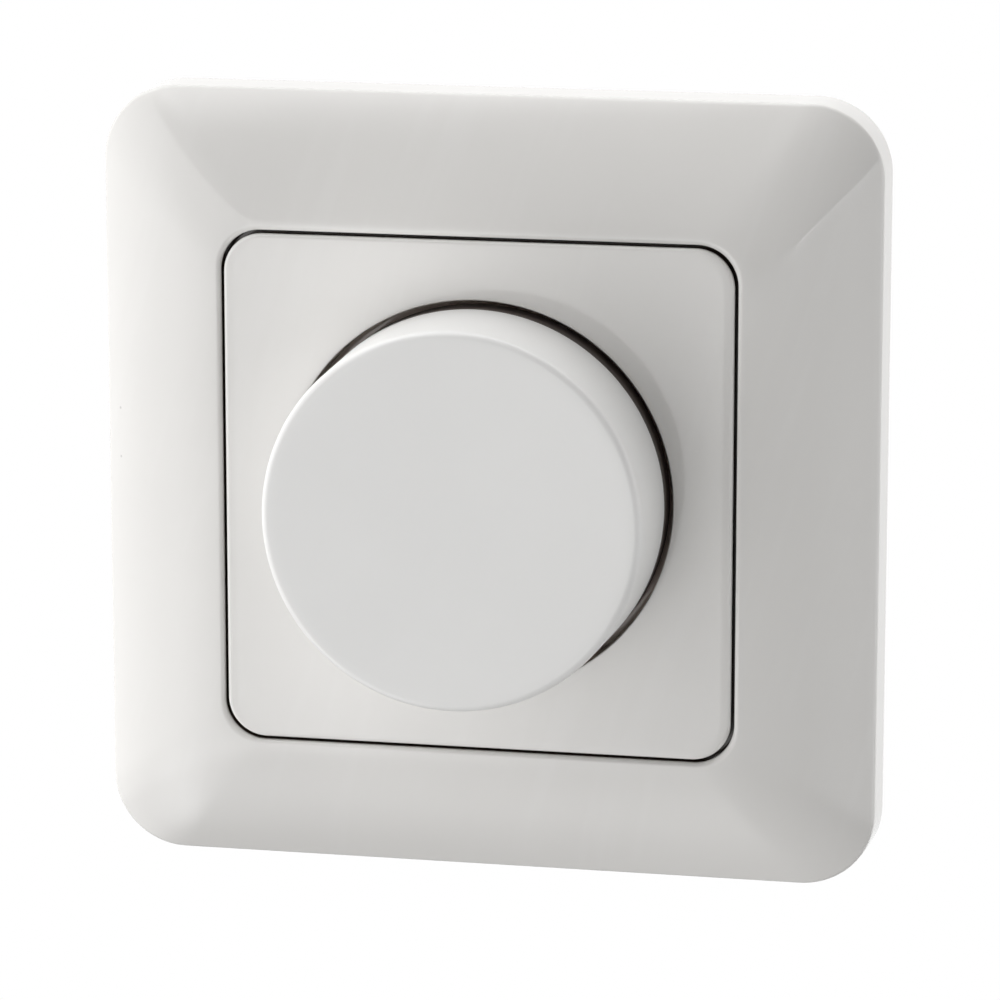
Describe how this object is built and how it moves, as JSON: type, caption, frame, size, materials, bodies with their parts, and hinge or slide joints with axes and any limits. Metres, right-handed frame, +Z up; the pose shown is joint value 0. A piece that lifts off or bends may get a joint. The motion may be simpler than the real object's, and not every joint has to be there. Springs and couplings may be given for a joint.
{
  "type": "rotary dimmer switch",
  "caption": "Flush-mounted rotary dimmer with a push on/off knob in a square plate and a crowned cover frame, on a steel support frame with its insert",
  "frame": {"origin": "middle of the two box screw slots, on the support frame's back face, which is the wall's face", "axes": "+X right as seen from the room, +Y into the wall, +Z up, the knob points along -Y"},
  "size_m": [0.0848, 0.0495, 0.0848],
  "materials": {
    "gloss_white": "glossy moulded plastic",
    "satin_white": "satin moulded plastic",
    "collar_black": "fine matt",
    "shaft_plastic": "satin",
    "insert_plastic": "fine matt",
    "switch_plastic": "matt",
    "plunger_plastic": "matt",
    "capacitor_plastic": "glossy",
    "package_black": "matt moulding compound",
    "board_laminate": "matt",
    "resistor_lacquer": "lacquered",
    "core_iron": "lacquered powder core",
    "copper_wire": "enamelled",
    "spring_bronze": "rolled",
    "bush_brass": "turned",
    "nickel_brass": "nickel plated",
    "terminal_brass": "sawn",
    "spring_steel": "bright",
    "zinc_steel": "zinc plated sheet",
    "tinned_metal": "tinned",
    "rivet_aluminium": "bright",
    "heat_sink_aluminium": "sawn",
    "fuse_glass": "clear"
  },
  "bodies": {
    "insert": {"cover_frame": "gloss_white", "centre_plate": "gloss_white", "threaded_bush": "bush_brass", "plate_washer": "zinc_steel", "plate_nut": "nickel_brass", "support_frame": "zinc_steel", "insert_cover": "insert_plastic", "insert_body": "insert_plastic", "cover_rivets": "rivet_aluminium", "pot_housing": "switch_plastic", "pot_track": "board_laminate", "pot_pins": "tinned_metal", "switch_housing": "switch_plastic", "switch_spring": "spring_steel", "fixed_contacts": "spring_bronze", "circuit_board": "board_laminate", "choke_core": "core_iron", "choke_winding": "copper_wire", "filter_capacitor": "capacitor_plastic", "power_transistor": "package_black", "heat_sink": "heat_sink_aluminium", "transistor_screw": "zinc_steel", "fuse_tube": "fuse_glass", "fuse_caps": "tinned_metal", "fuse_clips": "tinned_metal", "resistors": "resistor_lacquer", "terminal_cages": "terminal_brass", "terminal_screws": "zinc_steel"},
    "plunger": {"switch_plunger": "plunger_plastic", "contact_bridge": "spring_bronze"},
    "knob": {"knob_cap": "satin_white", "knob_collar": "collar_black", "shaft_clip": "spring_steel", "control_shaft": "shaft_plastic"},
    "rotor": {"pot_rotor": "shaft_plastic", "pot_wiper": "spring_bronze"}
  },
  "joints": [
    {"name": "knob_push", "type": "slide", "parent": "insert", "child": "plunger", "axis": [0, 1, 0], "range_m": [0, 0.0016], "stiffness_N_per_m": 2500, "springref_m": -0.0008, "deforming": ["switch_spring"]},
    {"name": "knob_turn", "type": "hinge", "parent": "plunger", "child": "knob", "pos_m": [0, 0, 0], "axis": [0, 1, 0], "range_deg": [0, 270]},
    {"name": "rotor_turn", "type": "hinge", "parent": "insert", "child": "rotor", "pos_m": [0, 0.006, 0], "axis": [0, 1, 0], "range_deg": [0, 270]}
  ],
  "couplings": [
    {"joint": "rotor_turn", "follows": "knob_turn", "ratio": 1}
  ]
}
